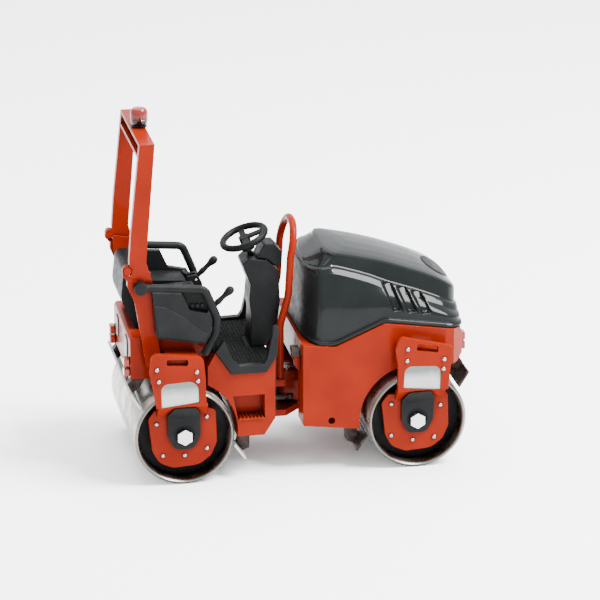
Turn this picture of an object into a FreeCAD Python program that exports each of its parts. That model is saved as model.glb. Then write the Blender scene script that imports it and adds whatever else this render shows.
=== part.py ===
"""Toy tandem road roller, about 1:50, as a parametric FreeCAD document.

Frame: +X forward (the hood end), +Y to the machine's left, +Z up, in millimetres.
The origin is on the ground, under the articulation pin, midway between the two drums.
"Right" nodes lie on -Y and "left" nodes on +Y.
"""
import FreeCAD, Part
import math
import os
import Sketcher

Vector = FreeCAD.Vector
RIGHT, LEFT = -1, 1
SIDES = ((RIGHT, "right"), (LEFT, "left"))

doc = FreeCAD.newDocument("toy_road_roller")

# ---------------------------------------------------------------- driving dimensions
DIMENSIONS = (
    ("axle_x", 17.0),            # half of the wheelbase
    ("drum_radius", 7.2),
    ("drum_width", 24.0),
    ("drum_wall", 0.7),
    ("drum_chamfer", 0.3),
    ("disc_face", 9.4),          # outer face of the drum's end disc, from the middle
    ("disc_thick", 0.8),
    ("hub_radius", 2.2),
    ("axle_radius", 0.9),
    ("running_gap", 0.06),
    ("hex_flats", 2.1),
    ("hex_face", 12.3),
    ("fork_face", 13.1),         # outer face of a fork's upper plate
    ("fork_thick", 0.8),
    ("fork_low_face", 11.2),     # outer face of a fork's lower plate
    ("cover_face", 11.7),
    ("window_depth", 0.35),
    ("plate_thick", 0.15),       # bright plate let into the fork's window
    ("rivet_radius", 0.34),
    ("rear_arch", 7.9),
    ("front_arch", 8.3),
    ("tail_half", 8.1),          # half width of the rear frame over its drum
    ("body_half", 10.5),         # half width of the rear frame at the platform
    ("front_half", 10.8),
    ("tail_x", 24.1),
    ("deck_z", 21.4),            # seat deck
    ("floor_z", 15.75),          # underside of the operator's floor
    ("rear_front_x", 3.6),       # the rear frame ends this far behind the pin
    ("front_rear_x", 0.4),       # the front frame starts this far ahead of the pin
    ("front_deck_z", 18.6),
    ("pin_radius", 0.7),
    ("yoke_top", 12.2),
    ("yoke_low", 6.6),
    ("yoke_plate", 1.0),
    ("post_inner", 8.1),         # roll bar posts, inner face from the middle
    ("post_thick", 1.1),
    ("fold_x", 24.48),           # roll bar hinge, behind the articulation pin
    ("fold_z", 31.73),
    ("lug_radius", 0.65),
    ("lug_thick", 0.52),
    ("hinge_pin_radius", 0.25),
    ("pin_head", 0.3),
    ("bar_top", 50.05),
    ("bar_depth", 2.15),
    ("beacon_radius", 1.25),
    ("beacon_x", 21.1),
    ("beacon_foot", 0.35),
    ("console_face", 10.4),
    ("console_wall", 1.0),
    ("rail_radius", 0.58),
    ("rail_y", 10.0),
    ("hoop_radius", 0.54),
    ("hoop_half", 4.2),
    ("wheel_radius", 3.25),      # steering wheel, to the middle of its rim
    ("rim_radius", 0.48),
    ("shaft_radius", 0.4),
    ("lever_y", 6.9),
    ("lever_radius", 0.26),
    ("knob_radius", 0.5),
    ("lever_pin_radius", 0.16),
    ("hood_wall", 1.0),
    ("peg_radius", 0.7),
    ("tie_down_radius", 0.5),
    ("tie_down_depth", 2.0),
)

sheet = doc.addObject("Spreadsheet::Sheet", "dims")
for row, (alias, size) in enumerate(DIMENSIONS, start=1):
    sheet.set(f"A{row}", alias)
    sheet.set(f"B{row}", str(size))
    sheet.setAlias(f"B{row}", alias)
doc.recompute()

nodes = []
cuts = []


# ---------------------------------------------------------------- helpers
def value(size):
    """The number that a size stands for: a number, or an expression of the sheet's aliases."""
    if isinstance(size, str):
        return float(sheet.evalExpression(size))
    return float(size)


def bind(item, path, size):
    """Bind a property to an expression, or set it when the size is a plain number."""
    if isinstance(size, str):
        item.setExpression(path, size)
    elif "." in path or "[" in path:
        item.setExpression(path, repr(float(size)))
    else:
        setattr(item, path, size)


def node(item, label):
    """Name a finished sub-part and keep it for the export."""
    item.Label = label
    nodes.append(item)
    return item


def new_body(label):
    body = doc.addObject("PartDesign::Body", "body_" + label)
    return node(body, label)


def tool_body(label):
    """A body that only takes part in a boolean operation."""
    body = doc.addObject("PartDesign::Body", "tool_" + label)
    body.Label = "tool_" + label
    return body


def new_sketch(body, plane, offset=0.0):
    """An empty sketch on one of the body's own origin planes, moved along its normal."""
    sketch = body.newObject("Sketcher::SketchObject", body.Name + "_sketch")
    support = [item for item in body.Origin.OriginFeatures if item.Role == plane + "_Plane"]
    sketch.AttachmentSupport = [(support[0], "")]
    sketch.MapMode = "FlatFace"
    bind(sketch, "AttachmentOffset.Base.z", offset)
    return sketch


def draw_polygon(sketch, points, closed=True):
    """Corners as (x, y) or (x, y, corner radius), each held by two bound distances."""
    spots = [Vector(value(point[0]), value(point[1]), 0) for point in points]
    lines = len(points) if closed else len(points) - 1
    for index in range(lines):
        edge = Part.LineSegment(spots[index], spots[(index + 1) % len(points)])
        sketch.addGeometry(edge, False)
    for index in range(lines if closed else lines - 1):
        follower = (index + 1) % lines
        sketch.addConstraint(Sketcher.Constraint("Coincident", index, 2, follower, 1))
    for index, point in enumerate(points):
        line, end = (index, 1) if index < lines else (index - 1, 2)
        for kind, size in (("DistanceX", point[0]), ("DistanceY", point[1])):
            rule = Sketcher.Constraint(kind, -1, 1, line, end, value(size))
            number = sketch.addConstraint(rule)
            if isinstance(size, str):
                sketch.setExpression(f"Constraints[{number}]", size)
    for index, point in enumerate(points):
        if len(point) == 3:
            sketch.fillet((index - 1) % lines, 2, value(point[2]), True, True)


def draw_circle(sketch, centre_x, centre_y, radius):
    centre = Vector(value(centre_x), value(centre_y), 0)
    circle = Part.Circle(centre, Vector(0, 0, 1), value(radius))
    sketch.addGeometry(circle, False)
    rules = (
        (Sketcher.Constraint("DistanceX", -1, 1, 0, 3, value(centre_x)), centre_x),
        (Sketcher.Constraint("DistanceY", -1, 1, 0, 3, value(centre_y)), centre_y),
        (Sketcher.Constraint("Radius", 0, value(radius)), radius),
    )
    for rule, size in rules:
        number = sketch.addConstraint(rule)
        if isinstance(size, str):
            sketch.setExpression(f"Constraints[{number}]", size)


def prism(body, plane, outline, length, start=None, side=1, cut=False):
    """Pad or pocket an outline. With no start it is centred on the plane. With one, a pad
    begins that far out on the given side and runs outward, and a pocket runs inward."""
    normal = -1 if plane == "XZ" else 1
    offset = 0.0
    if start is not None:
        offset = f"{side * normal} * ({start})"
    sketch = new_sketch(body, plane, offset)
    if len(outline) == 3 and not isinstance(outline[0], tuple):
        draw_circle(sketch, *outline)
    else:
        draw_polygon(sketch, outline)
    kind = "PartDesign::Pocket" if cut else "PartDesign::Pad"
    feature = body.newObject(kind, body.Name + ("_pocket" if cut else "_pad"))
    feature.Profile = sketch
    bind(feature, "Length", length)
    if start is None:
        feature.SideType = "Symmetric"
    else:
        feature.Reversed = side * normal < 0
    sketch.Visibility = False
    if cut:
        cuts.append(feature)
    return feature


def pipe(body, plane, points, start, side, radius, first_plane, first_offset):
    """A round bar swept along a flat path with rounded corners."""
    normal = -1 if plane == "XZ" else 1
    spine = new_sketch(body, plane, f"{side * normal} * ({start})")
    draw_polygon(spine, points, closed=False)
    section = new_sketch(body, first_plane, first_offset)
    centre = (f"{side} * ({start})", points[0][1])
    draw_circle(section, centre[0], centre[1], radius)
    sweep = body.newObject("PartDesign::AdditivePipe", body.Name + "_pipe")
    sweep.Profile = section
    sweep.Spine = spine
    return sweep


def place(item, at, axis="Z"):
    """Put a primitive at a point, with its own Z turned to the named axis."""
    turns = {"Z": (Vector(0, 0, 1), 0), "X": (Vector(0, 1, 0), 90), "Y": (Vector(1, 0, 0), -90)}
    item.Placement = FreeCAD.Placement(Vector(0, 0, 0), FreeCAD.Rotation(*turns[axis]))
    for letter, size in zip("xyz", at):
        bind(item, "Placement.Base." + letter, size)
    return item


def cylinder(name, radius, length, at, axis="Z"):
    item = doc.addObject("Part::Cylinder", name)
    bind(item, "Radius", radius)
    bind(item, "Height", length)
    return place(item, at, axis)


def box(name, sizes, at):
    item = doc.addObject("Part::Box", name)
    for path, size in zip(("Length", "Width", "Height"), sizes):
        bind(item, path, size)
    return place(item, at)


def sphere(name, radius, at):
    item = doc.addObject("Part::Sphere", name)
    bind(item, "Radius", radius)
    return place(item, at)


def fuse(name, *items):
    item = doc.addObject("Part::MultiFuse", name)
    item.Shapes = list(items)
    return item


def cut(name, base, *tools):
    item = doc.addObject("Part::Cut", name)
    item.Base = base
    item.Tool = tools[0] if len(tools) == 1 else fuse(name + "_tools", *tools)
    cuts.append(item)
    return item


def group(label, items):
    """Separate solids that share one node."""
    item = doc.addObject("Part::Compound", "group_" + label)
    item.Links = list(items)
    return node(item, label)


def along(axle, direction, *points):
    """Outline points given from a drum's axis: outward distance and height from the ground."""
    outline = []
    for point in points:
        spot = (f"{axle} * dims.axle_x + {axle * direction} * ({point[0]})", point[1])
        outline.append(spot + tuple(point[2:]))
    return outline


# ---------------------------------------------------------------- drums
REAR, FRONT = -1, 1
ENDS = ((REAR, "rear"), (FRONT, "front"))


def drum(axle, name):
    """A bare steel tube on a black spool that runs on the fixed axle."""
    axle_at = f"{axle} * dims.axle_x"
    shell = new_body(name + "_drum_shell")
    prism(shell, "XZ", (axle_at, "dims.drum_radius", "dims.drum_radius"), "dims.drum_width")
    inner = "dims.drum_radius - dims.drum_wall"
    prism(shell, "XZ", (axle_at, "dims.drum_radius", inner), "dims.drum_width + 2", cut=True)
    doc.recompute()
    rims = [f"Edge{number}" for number, edge in enumerate(shell.Shape.Edges, start=1)
            if len(edge.Vertexes) == 1]
    tube = shell.Tip
    bevel = shell.newObject("PartDesign::Chamfer", name + "_drum_bevel")
    bevel.Base = (tube, rims)
    bind(bevel, "Size", "dims.drum_chamfer")

    def turned(part, radius, low, length):
        at = (axle_at, low, "dims.drum_radius")
        return cylinder(f"{name}_{part}", radius, length, at, "Y")

    discs = [turned("disc_right", inner, "-dims.disc_face", "dims.disc_thick"),
             turned("disc_left", inner, "dims.disc_face - dims.disc_thick", "dims.disc_thick")]
    hub = turned("hub", "dims.hub_radius", "-dims.disc_face - 0.5", "2 * dims.disc_face + 1")
    bore = turned("bore", "dims.axle_radius + dims.running_gap", -12, 24)
    spool = fuse(name + "_spool", hub, *discs)
    node(cut(name + "_core", spool, bore), name + "_drum_core")


def hexagon(name, start, length, axle_at):
    prism_item = doc.addObject("Part::Prism", name)
    prism_item.Polygon = 6
    bind(prism_item, "Circumradius", "dims.hex_flats / sqrt(3)")
    bind(prism_item, "Height", length)
    place(prism_item, (axle_at, start, "dims.drum_radius"), "Y")
    upright = FreeCAD.Rotation(Vector(0, 0, 1), 30)
    prism_item.Placement.Rotation = prism_item.Placement.Rotation.multiply(upright)
    return prism_item


def axle_set(axle, name):
    """A steel axle bolt with a hexagon head on the right and a nut on the left."""
    axle_at = f"{axle} * dims.axle_x"
    head_length = "dims.hex_face - dims.cover_face"
    shank = cylinder(name + "_axle_shank", "dims.axle_radius", "2 * dims.cover_face + 0.4",
                     (axle_at, "-dims.cover_face", "dims.drum_radius"), "Y")
    head = hexagon(name + "_axle_head", "-dims.hex_face", head_length, axle_at)
    node(fuse(name + "_axle_fused", shank, head), name + "_axle")
    nut = hexagon(name + "_nut_block", "dims.cover_face", head_length, axle_at)
    thread = cylinder(name + "_nut_thread", "dims.axle_radius", "0.4",
                      (axle_at, "dims.cover_face", "dims.drum_radius"), "Y")
    node(cut(name + "_nut_cut", nut, thread), name + "_axle_nut")


# ---------------------------------------------------------------- forks
UPPER_FORK = {
    REAR: ((-3.0, 12.2), (4.2, 12.2), (4.5, 14.4), (5.1, 17.6, 1.8), (4.8, 20.5, 0.9),
           (-2.6, 19.55, 0.9), (-2.9, 16.4, 1.0)),
    FRONT: ((4.2, 12.2), (-3.2, 12.2), (-3.2, 16.4, 1.0), (-3.6, 18.6, 1.2), (-3.0, 20.55, 0.8),
            (4.8, 18.7, 0.6), (4.4, 14.0)),
}
PLATE = ((-5.15, 10.0, 0.9), (-4.6, 5.0, 1.5), (-3.6, 3.2, 2.0), (-1.6, 2.3, 2.0),
         (2.2, 2.6, 2.5), (3.9, 3.9, 1.5), (4.75, 5.9, 1.2), (4.6, 10.8, 0.6), (3.3, 11.3),
         (-4.2, 11.2))
LOWER_FORK = {
    REAR: tuple((-corner[0],) + corner[1:] for corner in PLATE),
    FRONT: PLATE,
}
WINDOW = {
    REAR: ((3.4, 12.2), (-1.95, 12.75), (-1.9, 16.05, 1.5), (3.5, 15.8, 1.1)),
    FRONT: ((-2.35, 12.7), (3.05, 12.15), (3.1, 15.75, 1.1), (-2.2, 16.05, 1.1)),
}
SLOT = {
    REAR: ((-0.4, 18.35, 0.35), (2.65, 18.6, 0.35), (2.65, 19.5, 0.35), (-0.45, 19.35, 0.35)),
    FRONT: ((-0.5, 18.3, 0.35), (2.65, 17.8, 0.35), (2.7, 18.85, 0.35), (-0.45, 19.45, 0.35)),
}
COVER = ((-2.3, 7.2, 1.6), (-1.4, 5.25, 1.2), (1.4, 5.25, 1.2), (2.35, 7.2, 1.6),
         (2.5, 10.6, 0.5), (1.6, 12.1, 0.7), (-1.5, 12.0, 0.7), (-2.3, 10.5, 0.5))
UPPER_RIVETS = {
    REAR: ((4.05, 18.1), (3.8, 16.3), (-1.65, 17.4), (-1.8, 16.05)),
    FRONT: ((-1.8, 18.65), (-1.9, 16.9), (3.55, 16.8), (3.45, 15.35)),
}
LOWER_RIVETS = {
    REAR: ((3.95, 9.2), (-3.3, 9.85), (3.1, 4.3), (-0.05, 4.15), (-3.3, 5.0)),
    FRONT: ((3.5, 9.1), (-3.75, 9.75), (2.65, 4.2), (-0.55, 4.0), (-3.75, 4.85)),
}
SPACER = {
    REAR: ((2.3, 15.3), (-2.2, 15.3), (-2.2, 19.0), (2.3, 19.3)),
    FRONT: ((-3.0, 15.6), (4.2, 15.6), (4.2, 17.6), (-3.0, 19.4)),
}


def fork(axle, name, side, hand):
    """A cast plate: the upper part stands outside the drum, the web bends in through the
    drum's mouth and the lower part carries the axle."""
    body = new_body(f"{name}_fork_{hand}")
    prism(body, "XZ", along(axle, 1, *UPPER_FORK[axle]), "dims.fork_thick",
          "dims.fork_face - dims.fork_thick", side)
    prism(body, "XZ", along(axle, 1, *LOWER_FORK[axle]), "dims.fork_thick",
          "dims.fork_low_face - dims.fork_thick", side)
    web = ((f"{side} * (dims.fork_face - dims.fork_thick)", 12.5),
           (f"{side} * (dims.fork_low_face - dims.fork_thick)", 11.2),
           (f"{side} * (dims.fork_low_face - dims.fork_thick)", 10.2),
           (f"{side} * dims.fork_low_face", 10.2),
           (f"{side} * dims.fork_face", 12.2),
           (f"{side} * dims.fork_face", 12.5))
    web_low = "-dims.axle_x - 3.9" if axle == REAR else "dims.axle_x - 3.2"
    prism(body, "YZ", web, 7.1, web_low)
    prism(body, "XZ", along(axle, 1, *WINDOW[axle]), "dims.window_depth", "dims.fork_face", side,
          cut=True)
    prism(body, "XZ", along(axle, 1, *SLOT[axle]), 2, "dims.fork_face + 0.2", side, cut=True)
    axle_at = f"{axle} * dims.axle_x"
    prism(body, "XZ", (axle_at, "dims.drum_radius", "dims.axle_radius"), 4,
          "dims.fork_low_face + 1", side, cut=True)


def fork_trim(axle, name, side, hand):
    """The bright plate let into the fork and the dark cover over the end of the axle."""
    insert = tool_body(f"{name}_fork_plate_{hand}")
    prism(insert, "XZ", along(axle, 1, *WINDOW[axle]), "dims.plate_thick",
          "dims.fork_face - dims.window_depth", side)
    outline = tool_body(f"{name}_cover_outline_{hand}")
    prism(outline, "XZ", along(axle, 1, *COVER), 4, 10, side)
    wedge = tool_body(f"{name}_cover_wedge_{hand}")
    profile = ((f"{side} * dims.fork_low_face", 4.5), (f"{side} * dims.cover_face", 4.5),
               (f"{side} * dims.cover_face", 10.0), (f"{side} * (dims.fork_face + 0.15)", 12.0),
               (f"{side} * (dims.fork_face + 0.15)", 12.3), (f"{side} * dims.fork_face", 12.3),
               (f"{side} * dims.fork_face", 12.2), (f"{side} * dims.fork_low_face", 10.2))
    prism(wedge, "YZ", profile, 6, f"{axle} * dims.axle_x - 3")
    cover = doc.addObject("Part::Common", f"{name}_cover_block_{hand}")
    cover.Base = outline
    cover.Tool = wedge
    bore = cylinder(f"{name}_cover_bore_{hand}", "dims.axle_radius", 4,
                    (f"{axle} * dims.axle_x", f"{side} * 12 - 2", "dims.drum_radius"), "Y")
    recess = cylinder(f"{name}_cover_recess_{hand}", 1.5, 0.4,
                      (f"{axle} * dims.axle_x", f"{side} * dims.cover_face - 0.2", 7.5), "Y")
    return insert, cut(f"{name}_cover_cut_{hand}", cover, bore, recess)


def rivets(axle, name):
    """Dome-headed rivets on both forks: the head lies on the plate."""
    radius = value("dims.rivet_radius")
    faces = ((UPPER_RIVETS[axle], value("dims.fork_face")),
             (LOWER_RIVETS[axle], value("dims.fork_low_face")))
    solids = []
    for side, _ in SIDES:
        for spots, face in faces:
            for outward, height in spots:
                foot = Vector(axle * (value("dims.axle_x") + outward), side * face, height)
                ball = Part.makeSphere(radius, foot)
                slab = Part.makeBox(2 * radius, radius, 2 * radius)
                low = min(side * face, side * (face + radius))
                slab.translate(Vector(foot.x - radius, low, foot.z - radius))
                solids.append(ball.common(slab))
    item = doc.addObject("Part::Feature", "group_" + name + "_fork_rivets")
    item.Shape = Part.makeCompound(solids)
    node(item, name + "_fork_rivets")


# ---------------------------------------------------------------- scrapers
OUTER_BLADE = ((6.05, 11.8), (6.35, 11.6), (7.75, 13.9), (7.45, 14.1))
OUTER_BRACKET = ((6.75, 12.96), (7.55, 14.27), (7.0, 15.0), (5.0, 15.0), (5.7, 13.9, 0.3))
INNER_BLADE = ((-7.15, 5.1), (-7.4, 5.35), (-9.0, 3.1), (-8.75, 2.85))
INNER_BRACKET = ((-8.04, 4.45), (-8.9, 3.24), (-9.9, 3.6, 0.4), (-9.9, 6.1), (-8.5, 6.1))


def scrapers(axle, name):
    """Two spring-steel blades per drum, each on a pair of brackets."""
    blades = []
    holders = []
    for where, blade, bracket, reach in (
            ("outer", OUTER_BLADE, OUTER_BRACKET, 6.6),
            ("inner", INNER_BLADE, INNER_BRACKET, 7.4)):
        body = tool_body(f"{name}_{where}_scraper")
        prism(body, "XZ", along(axle, 1, *blade), 22.8)
        blades.append(body)
        for side, hand in SIDES:
            holder = tool_body(f"{name}_{where}_bracket_{hand}")
            prism(holder, "XZ", along(axle, 1, *bracket), 1.4, reach, side)
            holders.append(holder)
    group(name + "_scraper_blades", blades)
    group(name + "_scraper_brackets", holders)


for end, end_name in ENDS:
    drum(end, end_name)
    axle_set(end, end_name)
    trims = []
    for hand_side, hand_name in SIDES:
        fork(end, end_name, hand_side, hand_name)
        trims.append(fork_trim(end, end_name, hand_side, hand_name))
    group(end_name + "_fork_plates", [plate for plate, _ in trims])
    group(end_name + "_hub_covers", [cover for _, cover in trims])
    rivets(end, end_name)
    scrapers(end, end_name)


# ---------------------------------------------------------------- rear frame
def rear_chassis():
    """One casting: narrow tail over the drum, wide platform with a footwell and steps."""
    body = new_body("rear_chassis")
    tail = (("-dims.tail_x", 15.0, 0.4), ("-dims.tail_x", "dims.deck_z", 0.6),
            (-12.4, "dims.deck_z"), (-12.4, 15.0))
    prism(body, "XZ", tail, "2 * dims.tail_half")
    platform = ((-13.4, 6.1), (-5.2, 6.1), ("-dims.rear_front_x", 8.6),
                ("-dims.rear_front_x", 17.7), (-4.9, "dims.floor_z"), (-9.95, "dims.floor_z"),
                (-12.2, 19.1), (-13.4, 17.0))
    prism(body, "XZ", platform, "2 * dims.body_half")
    well = ((-12.4, "dims.floor_z"), (-3.0, "dims.floor_z"), (-3.0, 24.0), (-12.4, 24.0))
    prism(body, "XZ", well, 19.8, cut=True)
    arch = ("-dims.axle_x", "dims.drum_radius", "dims.rear_arch")
    prism(body, "XZ", arch, 30, cut=True)
    step = ((-9.75, 12.3), (-9.0, 8.7), (-5.15, 8.7), (-5.15, 12.3))
    for side, _ in SIDES:
        prism(body, "XZ", along(REAR, 1, *SPACER[REAR]), 4.3, "dims.tail_half - 0.1", side)
        prism(body, "XZ", step, 2.0, "dims.body_half", side, cut=True)


def step_treads():
    """A serrated foot tread at the bottom of each step recess."""
    pair = []
    teeth = 7
    first, last, foot = -8.95, -5.2, 8.7
    pitch = (last - first) / teeth
    for side, hand in SIDES:
        body = tool_body("step_tread_" + hand)
        outline = [(first, foot)]
        for tooth in range(teeth):
            start = first + tooth * pitch
            outline += [(start, foot + 0.1), (start + pitch / 2, foot + 0.4)]
        outline += [(last, foot + 0.1), (last, foot)]
        prism(body, "XZ", outline, 2.0, 8.75, side)
        pair.append(body)
    group("step_treads", pair)


def floor():
    """A dark floor pan with raised side flanges, and the rubber mat in it."""
    pan = new_body("floor_pan")
    plate = ((-12.35, "dims.floor_z"), (-3.4, "dims.floor_z"), (-3.4, 16.3), (-12.35, 16.3))
    prism(pan, "XZ", plate, 19.7)
    riser = ((-12.35, 16.0), (-11.8, 16.0), (-11.8, 21.3), (-12.35, 21.3))
    prism(pan, "XZ", riser, 18.7)
    flange = ((-12.2, 19.3), (-9.9, 15.8), (-4.95, 15.8), (-3.35, 18.35), (-3.1, 22.8, 0.3),
              (-3.8, 22.4, 0.2), (-4.8, 17.8), (-5.3, 17.05), (-8.8, 16.95), (-9.7, 17.9),
              (-11.0, 21.0))
    for side, _ in SIDES:
        prism(pan, "XZ", flange, 1.1, 9.8, side)
    mat = new_body("floor_mat")
    prism(mat, "XY", ((-11.6, -9.6, 0.5), (-4.0, -9.6, 0.5), (-4.0, 9.6, 0.5),
                      (-11.6, 9.6, 0.5)), 0.3, 16.3)


def seat():
    base = new_body("seat_base")
    prism(base, "XZ", ((-20.8, "dims.deck_z"), (-13.6, "dims.deck_z"), (-13.2, 23.2, 0.4),
                       (-20.8, 23.2)), 8.4)
    cushion = new_body("seat_cushion")
    prism(cushion, "XZ", ((-20.4, 23.2), (-13.6, 23.2), (-12.9, 24.2, 0.5), (-13.0, 25.0, 0.4),
                          (-19.9, 24.7, 0.3)), 8.8)
    back = new_body("seat_back")
    prism(back, "XZ", ((-22.7, "dims.deck_z"), (-21.1, "dims.deck_z"), (-20.6, 25.0),
                       (-21.8, 30.6, 1.0), (-24.3, 30.6, 1.0), (-24.75, 26.4, 0.3),
                       (-24.6, 25.4, 0.3)), 9.2)


def console(side, hand):
    """Side shell and armrest on a shelf that lies on the deck, and its tubular rail. The
    shell is cut away under the rail's front corner."""
    body = new_body("console_" + hand)
    wall = ((-20.6, 21.75, 1.0), (-14.7, 20.7, 0.4), (-13.6, 20.7), (-12.85, 21.9),
            (-12.62, 24.1), (-12.95, 25.0), (-15.8, 25.65, 0.3), (-16.9, 28.15),
            (-21.1, 28.5))
    prism(body, "XZ", wall, "dims.console_wall", "dims.console_face - dims.console_wall", side)
    shelf = ((-20.1, "dims.deck_z"), (-12.6, "dims.deck_z"), (-12.6, 22.1), (-20.1, 22.1))
    prism(body, "XZ", shelf, 4.75, 4.6, side)
    armrest = ((-19.6, 22.0), (-13.65, 22.0), (-13.65, 24.9, 0.6), (-19.6, 25.3, 0.6))
    prism(body, "XZ", armrest, 4.6, 4.9, side)

    rail = new_body("handrail_" + hand)
    path = ((-22.75, 29.4), (-13.6, 28.6, 1.2), (-11.85, 24.3, 2.5), (-12.1, 21.8, 2.0),
            (-13.7, 18.9))
    pipe(rail, "XZ", path, "dims.rail_y", side, "dims.rail_radius", "YZ", -22.75)
    prism(rail, "XZ", (-22.75, 29.35, 0.9), 1.3, 9.3, side)
    prism(rail, "XZ", (-22.75, 29.1, 0.4), 0.2, 9.2, side)


def lever(side, hand):
    """A short travel lever on a pin between the two cheeks of its bracket."""
    bracket = tool_body("lever_bracket_" + hand)
    cheek = ((-13.5, 22.1), (-11.3, 22.1), (-11.3, 24.0, 0.8), (-12.0, 25.3, 0.6),
             (-13.5, 25.1, 0.3))
    prism(bracket, "XZ", cheek, 1.9, "dims.lever_y - 0.95", side)
    slot = ((-14.0, 23.6), (-11.0, 23.6), (-11.0, 26.0), (-14.0, 26.0))
    prism(bracket, "XZ", slot, 0.8, "dims.lever_y + 0.4", side, cut=True)
    prism(bracket, "XZ", (-12.2, 24.6, "dims.lever_pin_radius"), 4, "dims.lever_y + 2", side, cut=True)

    body = tool_body("travel_lever_" + hand)
    prism(body, "XZ", (-12.2, 24.6, 0.42), 0.7, "dims.lever_y - 0.35", side)
    prism(body, "XZ", (-12.2, 24.6, "dims.lever_pin_radius + 0.04"), 4, "dims.lever_y + 2", side,
          cut=True)
    lean = FreeCAD.Rotation(Vector(0, 0, 1), Vector(2.8, 0, 2.6))
    foot = Vector(-12.0, side * value("dims.lever_y"), 24.79)
    stalk = doc.addObject("Part::Cylinder", "lever_stalk_" + hand)
    bind(stalk, "Radius", "dims.lever_radius")
    stalk.Height = 3.2
    stalk.Placement = FreeCAD.Placement(foot + lean.multVec(Vector(0, 0, 0.1)), lean)
    taper = doc.addObject("Part::Cone", "lever_taper_" + hand)
    bind(taper, "Radius1", "dims.lever_radius")
    bind(taper, "Radius2", "dims.knob_radius - 0.02")
    taper.Height = 1.2
    taper.Placement = FreeCAD.Placement(foot + lean.multVec(Vector(0, 0, 2.3)), lean)
    tip = sphere("lever_grip_" + hand, "dims.knob_radius",
                 (-9.42, f"{side} * dims.lever_y", 27.18))
    node(fuse("lever_fused_" + hand, body, stalk, taper, tip), "travel_lever_" + hand)
    pin = cylinder("lever_pin_" + hand, "dims.lever_pin_radius", 1.9,
                   (-12.2, f"{side} * dims.lever_y - 0.95", 24.6), "Y")
    return bracket, pin


def steering():
    """Column, instrument pod and steering wheel. The wheel leans back and a little right."""
    column = tool_body("steering_column")
    outline = ((-5.7, 16.6), (-5.5, 21.5), (-5.8, 23.7), (-5.6, 26.0), (-6.8, 29.2, 0.4),
               (-5.9, 30.0, 0.3), (-3.2, 29.6, 0.3), (-1.5, 28.0, 0.6), (-1.3, 23.4, 0.8),
               (-1.7, 19.9, 0.6), (-3.3, 16.6))
    prism(column, "XZ", outline, 4.4)
    pod = new_body("instrument_pod")
    prism(pod, "XZ", ((-4.6, 29.9), (-3.15, 29.65), (-2.0, 28.6), (-1.0, 28.4, 0.3),
                      (-0.9, 30.6, 0.6), (-2.0, 31.9, 0.4), (-3.5, 31.9, 0.4)), 3.4)

    lean = FreeCAD.Rotation(Vector(1, 0, 0), 5).multiply(FreeCAD.Rotation(Vector(0, 1, 0), -20))
    centre = Vector(-6.2, -0.15, 32.75)
    rim = doc.addObject("Part::Torus", "wheel_rim")
    bind(rim, "Radius1", "dims.wheel_radius - 0.06")
    bind(rim, "Radius2", "dims.rim_radius")
    hub = doc.addObject("Part::Cylinder", "wheel_hub")
    hub.Radius = 0.8
    hub.Height = 0.7
    hub.Placement.Base = Vector(0, 0, -0.6)
    neck = doc.addObject("Part::Cone", "wheel_neck")
    neck.Radius1 = 0.95
    neck.Radius2 = 0.75
    neck.Height = 1.4
    neck.Placement.Base = Vector(0, 0, -2.0)
    shaft = doc.addObject("Part::Cylinder", "wheel_shaft")
    bind(shaft, "Radius", "dims.shaft_radius")
    shaft.Height = 3.4
    shaft.Placement.Base = Vector(0, 0, -3.6)
    spokes = []
    for turn in (0, 90, 270):
        spoke = doc.addObject("Part::Box", "wheel_spoke")
        bind(spoke, "Length", "dims.wheel_radius - 0.4")
        spoke.Width = 0.9
        spoke.Height = 0.4
        spin = FreeCAD.Rotation(Vector(0, 0, 1), turn)
        spoke.Placement = FreeCAD.Placement(spin.multVec(Vector(0.4, -0.45, -0.35)), spin)
        spokes.append(spoke)
    wheel = fuse("wheel_fused", rim, hub, neck, shaft, *spokes)
    wheel.Placement = FreeCAD.Placement(centre, lean)
    node(wheel, "steering_wheel")

    socket = doc.addObject("Part::Cylinder", "shaft_socket")
    bind(socket, "Radius", "dims.shaft_radius + dims.running_gap")
    socket.Height = 4.0
    socket.Placement = FreeCAD.Placement(centre + lean.multVec(Vector(0, 0, -3.7)), lean)
    node(cut("column_bored", column, socket), "steering_column")


def grab_hoop():
    """An arch of round bar ahead of the column: the legs rise, lean forward, then meet."""
    half = value("dims.hoop_half")
    radius = value("dims.hoop_radius")
    leg = (Vector(-1.7, -half, value("dims.yoke_top")), Vector(-1.7, -half, 20.4),
           Vector(-0.5, -half, 24.8), Vector(-0.15, -half, 30.8), Vector(0.7, -half, 35.0))
    route = list(leg) + [Vector(spot.x, -spot.y, spot.z) for spot in reversed(leg)]
    bends = [0, 4.0, 8.0, 4.0, 3.9, 3.9, 4.0, 8.0, 4.0, 0]
    item = doc.addObject("Part::Feature", "hoop_bar")
    item.Shape = round_bar(route, bends, radius)
    node(item, "grab_hoop")


def round_bar(route, bends, radius):
    """Sweep a round section along straight runs joined by tangent arcs."""
    edges = []
    start = route[0]
    for index in range(1, len(route) - 1):
        corner = route[index]
        back = (route[index - 1] - corner).normalize()
        ahead = (route[index + 1] - corner).normalize()
        half_turn = (math.pi - back.getAngle(ahead)) / 2
        reach = bends[index] * math.tan(half_turn)
        first, last = corner + back * reach, corner + ahead * reach
        toward = (back + ahead).normalize()
        centre_distance = math.hypot(reach, bends[index])
        middle = corner + toward * (centre_distance - bends[index])
        edges.append(Part.makeLine(start, first))
        edges.append(Part.Arc(first, middle, last).toShape())
        start = last
    edges.append(Part.makeLine(start, route[-1]))
    section = Part.Wire(Part.makeCircle(radius, route[0], route[1] - route[0]))
    return Part.Wire(edges).makePipeShell([section], True, False)


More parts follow.
